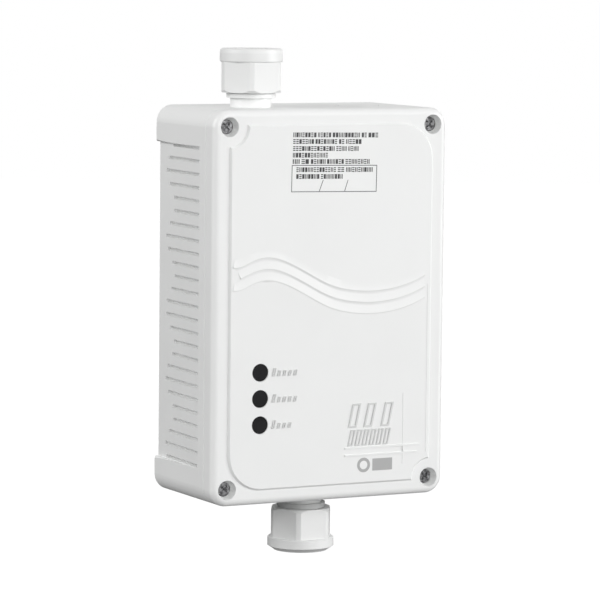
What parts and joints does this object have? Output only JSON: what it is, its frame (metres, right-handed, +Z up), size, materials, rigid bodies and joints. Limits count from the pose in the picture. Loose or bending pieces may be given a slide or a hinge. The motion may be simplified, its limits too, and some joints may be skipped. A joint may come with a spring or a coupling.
{
  "type": "gas sensor",
  "caption": "Wall-mounted gas detector: louvred plastic box with a screwed front cover, indicator windows, a conduit fitting on top and a sensing head below.",
  "frame": {"origin": "middle of the rear face, which lies on the wall", "axes": "+Z up along the housing's height, -Y out of the front cover, +Y into the wall, +X to the right as seen from the front"},
  "size_m": [0.12, 0.0635, 0.2336],
  "materials": {
    "housing": "satin",
    "fitting": "satin",
    "lens": "gloss",
    "screw_steel": "satin",
    "seal_rubber": "matte",
    "seal_grey": "matte",
    "board_laminate": "satin",
    "terminal_plastic": "satin",
    "relay_case": "gloss",
    "black_plastic": "matte",
    "white_plastic": "satin",
    "can_aluminium": "satin",
    "sheath": "matte",
    "green_lamp": "gloss",
    "yellow_lamp": "gloss",
    "red_lamp": "gloss"
  },
  "bodies": {
    "root": {"rear_box": "housing", "front_cover": "housing", "cover_gasket": "seal_rubber", "cover_screws": "screw_steel", "power_window": "lens", "alarm_window": "lens", "fault_window": "lens", "power_led": "green_lamp", "alarm_led": "red_lamp", "fault_led": "yellow_lamp", "led_spacers": "black_plastic", "circuit_board": "board_laminate", "board_screws": "screw_steel", "supply_terminals": "terminal_plastic", "relay_terminals": "terminal_plastic", "alarm_relay": "relay_case", "controller_chip": "black_plastic", "supply_capacitor": "can_aluminium", "voltage_regulator": "black_plastic", "sensor_socket": "white_plastic", "sensor_lead": "sheath", "conduit_body": "fitting", "conduit_nut": "fitting", "conduit_seal": "seal_rubber", "conduit_grip_ring": "white_plastic", "conduit_gasket": "seal_grey", "conduit_locknut": "fitting", "sensor_body": "fitting", "sensor_nut": "fitting", "sensor_holder": "black_plastic", "sensing_element": "screw_steel", "sensor_mesh": "screw_steel", "sensor_gasket": "seal_grey", "sensor_locknut": "fitting"}
  },
  "joints": []
}
